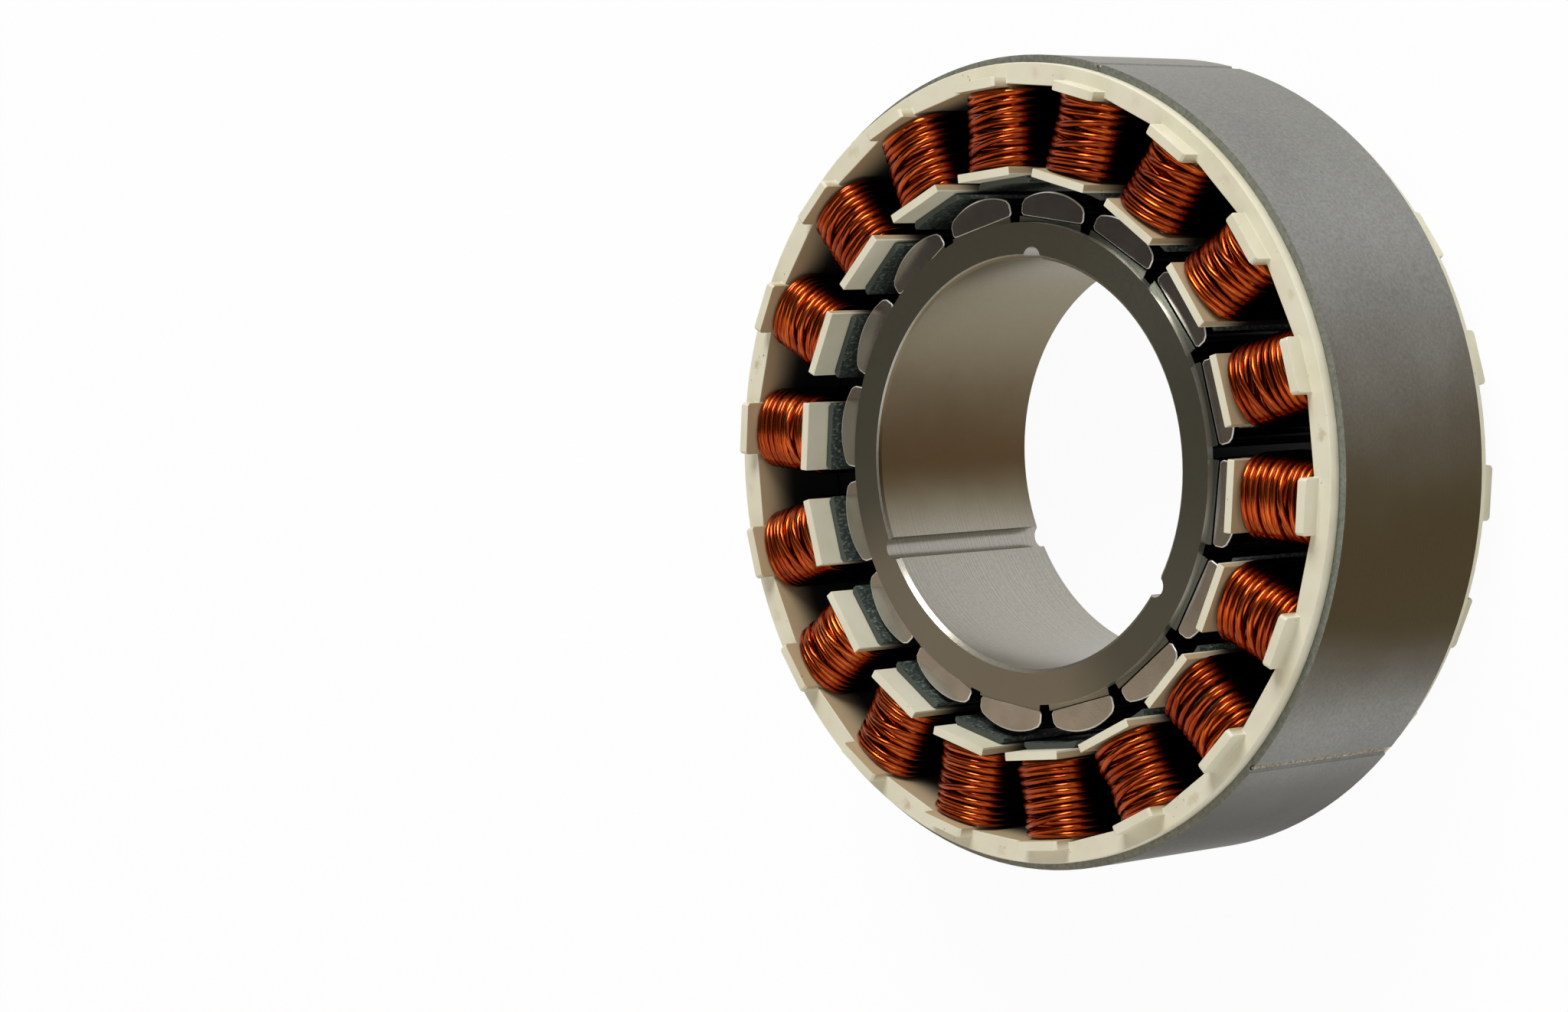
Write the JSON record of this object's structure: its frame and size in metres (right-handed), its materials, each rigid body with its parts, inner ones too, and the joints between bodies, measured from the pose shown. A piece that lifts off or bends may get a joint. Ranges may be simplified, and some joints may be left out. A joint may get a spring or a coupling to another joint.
{
  "type": "frameless motor",
  "caption": "Frameless brushless motor: wound ring stator with toothed steel stack and moulded end insulators, around a hollow magnet rotor with a large keyed bore.",
  "frame": {"origin": "on the motor axis, at the tips of the rear end insulator's tabs, on which the motor stands", "axes": "+Z along the motor axis, from the rear end towards the front end that faces the viewer in the picture; +X through the middle of a stator tooth"},
  "size_m": [0.105, 0.105, 0.0367],
  "materials": {
    "lamination_steel": "ground, slightly dull",
    "insulator_plastic": "matte moulded",
    "enamelled_copper": "glossy enamel over copper",
    "hub_steel": "turned, satin",
    "nickel_plate": "nickel plated, satin"
  },
  "bodies": {
    "stator": {"stator_core": "lamination_steel", "front_end_insulator": "insulator_plastic", "rear_end_insulator": "insulator_plastic", "coil_01": "enamelled_copper", "coil_02": "enamelled_copper", "coil_03": "enamelled_copper", "coil_04": "enamelled_copper", "coil_05": "enamelled_copper", "coil_06": "enamelled_copper", "coil_07": "enamelled_copper", "coil_08": "enamelled_copper", "coil_09": "enamelled_copper", "coil_10": "enamelled_copper", "coil_11": "enamelled_copper", "coil_12": "enamelled_copper", "coil_13": "enamelled_copper", "coil_14": "enamelled_copper", "coil_15": "enamelled_copper", "coil_16": "enamelled_copper", "coil_17": "enamelled_copper", "coil_18": "enamelled_copper"},
    "rotor": {"rotor_hub": "hub_steel", "magnet_01": "nickel_plate", "magnet_02": "nickel_plate", "magnet_03": "nickel_plate", "magnet_04": "nickel_plate", "magnet_05": "nickel_plate", "magnet_06": "nickel_plate", "magnet_07": "nickel_plate", "magnet_08": "nickel_plate", "magnet_09": "nickel_plate", "magnet_10": "nickel_plate", "magnet_11": "nickel_plate", "magnet_12": "nickel_plate", "magnet_13": "nickel_plate", "magnet_14": "nickel_plate", "magnet_15": "nickel_plate", "magnet_16": "nickel_plate"}
  },
  "joints": [
    {"name": "rotor_spin", "type": "hinge", "parent": "stator", "child": "rotor", "pos_m": [0, 0, 0.0192], "axis": [0, 0, 1], "continuous": true}
  ]
}
